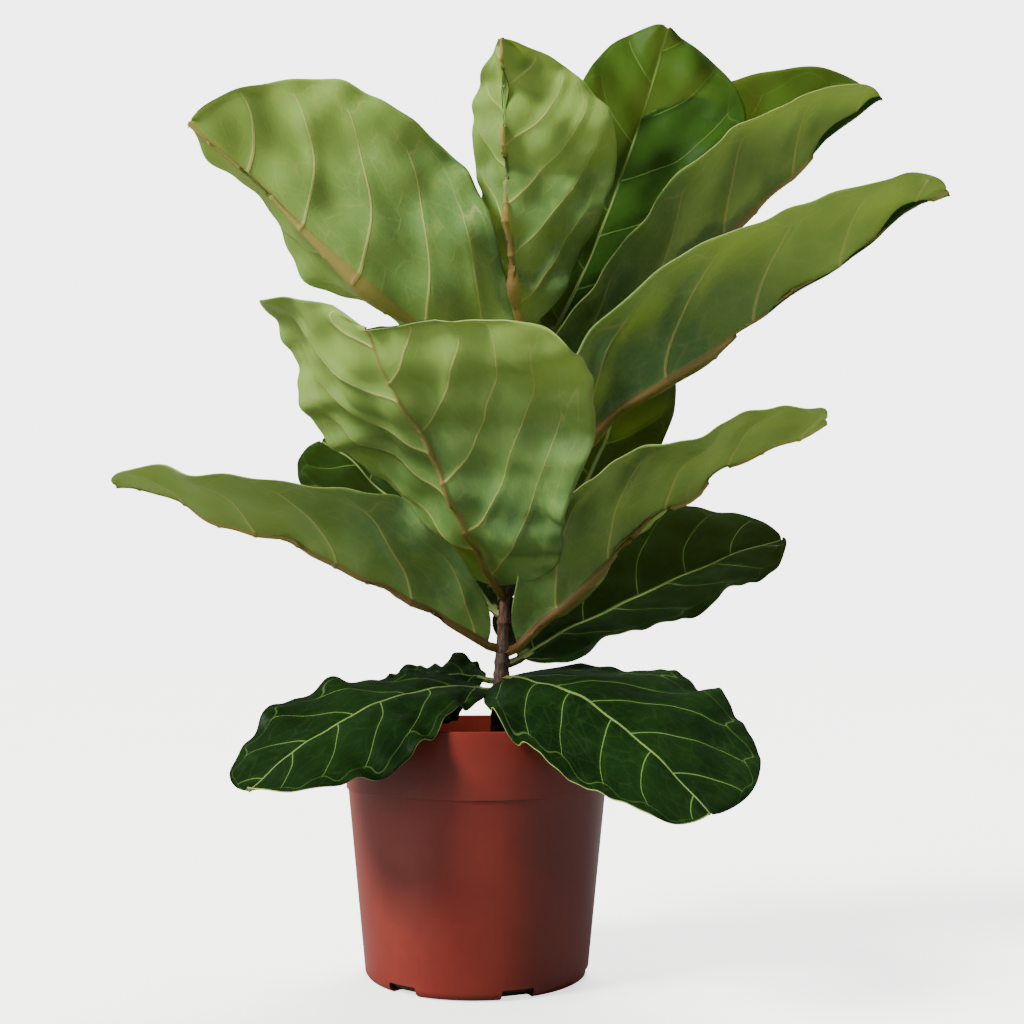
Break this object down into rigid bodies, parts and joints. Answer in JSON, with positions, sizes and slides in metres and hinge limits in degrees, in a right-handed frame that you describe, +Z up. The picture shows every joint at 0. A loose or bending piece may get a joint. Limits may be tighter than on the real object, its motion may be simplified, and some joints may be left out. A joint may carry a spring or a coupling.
{
  "type": "potted fiddle leaf fig",
  "caption": "Young fiddle leaf fig on a single upright stem, with large waisted leaves, growing in a tapered plastic nursery pot filled with soil.",
  "frame": {"origin": "centre of the pot's base, on the surface that the pot stands on", "axes": "+Z up along the pot's axis, -Y towards the front"},
  "size_m": [0.6553, 0.3576, 0.7999],
  "materials": {
    "pot_plastic": "satin red-brown moulded plastic",
    "soil": "loose dark potting soil",
    "stem_bark": "thin brown bark",
    "bud_sheath": "dry papery sheath",
    "leaf": "leathery, glossy dark green above and matte light green below"
  },
  "bodies": {
    "root": {"pot": "pot_plastic", "soil": "soil", "stem": "stem_bark", "terminal_bud": "bud_sheath", "leaf_low_front_left": "leaf", "leaf_low_front_right": "leaf", "leaf_low_back_left": "leaf", "leaf_long_left": "leaf", "leaf_long_right": "leaf", "leaf_back_right": "leaf", "leaf_broad_front": "leaf", "leaf_back_left": "leaf", "leaf_back_centre": "leaf", "leaf_wide_right": "leaf", "leaf_folded": "leaf", "leaf_upper_left": "leaf", "leaf_top_back": "leaf", "leaf_top_front": "leaf"}
  },
  "joints": []
}
